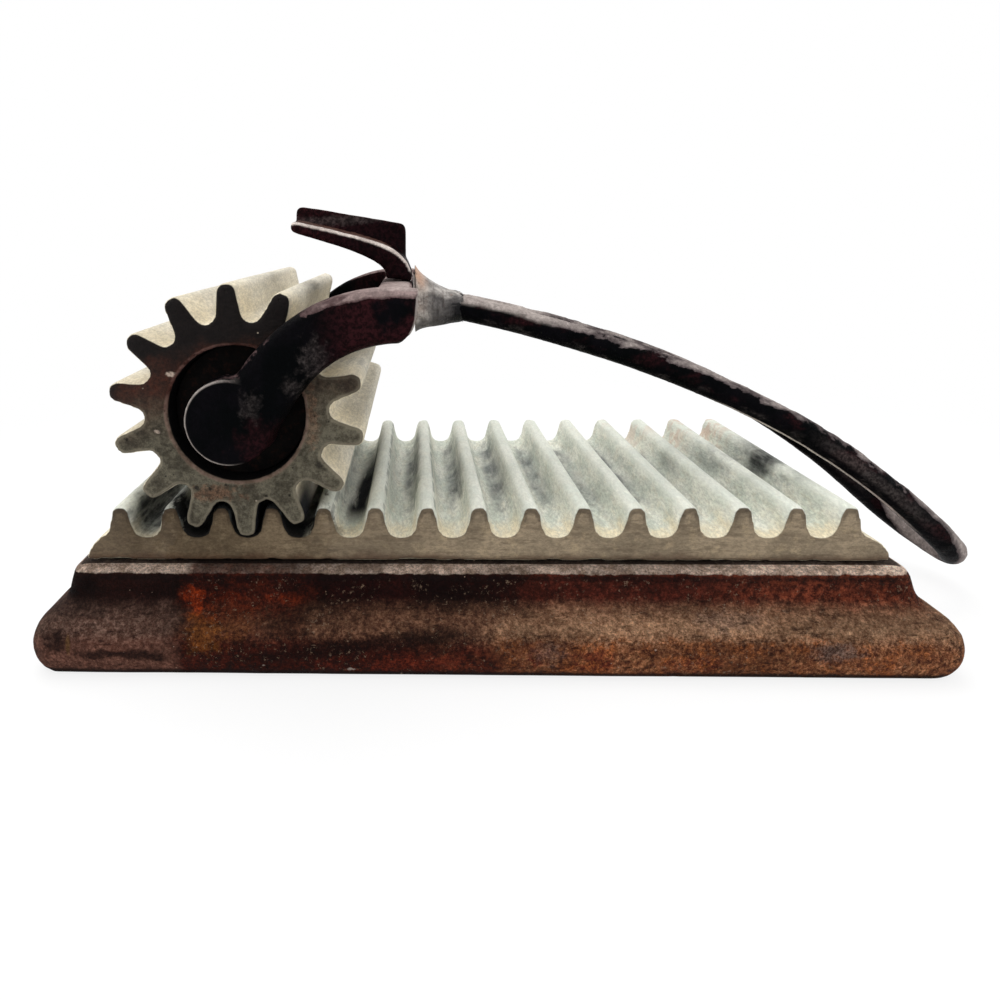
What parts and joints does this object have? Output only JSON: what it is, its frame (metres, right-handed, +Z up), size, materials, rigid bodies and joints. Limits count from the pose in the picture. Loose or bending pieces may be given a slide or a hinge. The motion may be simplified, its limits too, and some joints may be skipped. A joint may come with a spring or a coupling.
{
  "type": "fluting iron",
  "caption": "Hand fluting iron: a toothed roller in a hand-held yoke rolls over a toothed bed on a moulded cast base.",
  "frame": {"origin": "on the table, under the middle of the whole object's outline seen from above, with the roller at its place of rest", "axes": "+X along the bed from the roller to the handle's tail, +Y along the flutes away from the picture's viewer, +Z up"},
  "size_m": [0.1929, 0.0908, 0.0845],
  "materials": {
    "rusted_cast_iron": "rusted casting",
    "worn_plate": "worn, patinated",
    "dark_steel": "dull steel",
    "black_paint": "worn black paint",
    "bare_metal": "bare brazed metal"
  },
  "bodies": {
    "base": {"base_plinth": "rusted_cast_iron", "fluted_bed": "worn_plate", "bed_screw_1": "dark_steel", "bed_screw_2": "dark_steel", "bed_screw_3": "dark_steel", "bed_screw_4": "dark_steel"},
    "carriage": {"axle": "dark_steel", "axle_washer_near": "dark_steel", "axle_washer_far": "dark_steel"},
    "roller": {"roller_shell": "worn_plate", "roller_hub_near": "rusted_cast_iron", "roller_hub_far": "rusted_cast_iron"},
    "handle": {"yoke": "black_paint", "thumb_rest": "black_paint", "neck": "bare_metal", "handle_loop": "black_paint"}
  },
  "joints": [
    {"name": "roll_along", "type": "slide", "parent": "base", "child": "carriage", "axis": [1, 0, 0], "range_m": [-0.004, 0.1054]},
    {"name": "roller_spin", "type": "hinge", "parent": "carriage", "child": "roller", "pos_m": [-0.05675, 0, 0.0474], "axis": [0, 1, 0], "range_deg": [-10.9, 284.7]},
    {"name": "handle_swing", "type": "hinge", "parent": "carriage", "child": "handle", "pos_m": [-0.05675, 0, 0.0474], "axis": [0, -1, 0], "range_deg": [0, 120]}
  ],
  "couplings": [
    {"joint": "roller_spin", "follows": "roll_along", "rad_per_m": 47.118}
  ]
}
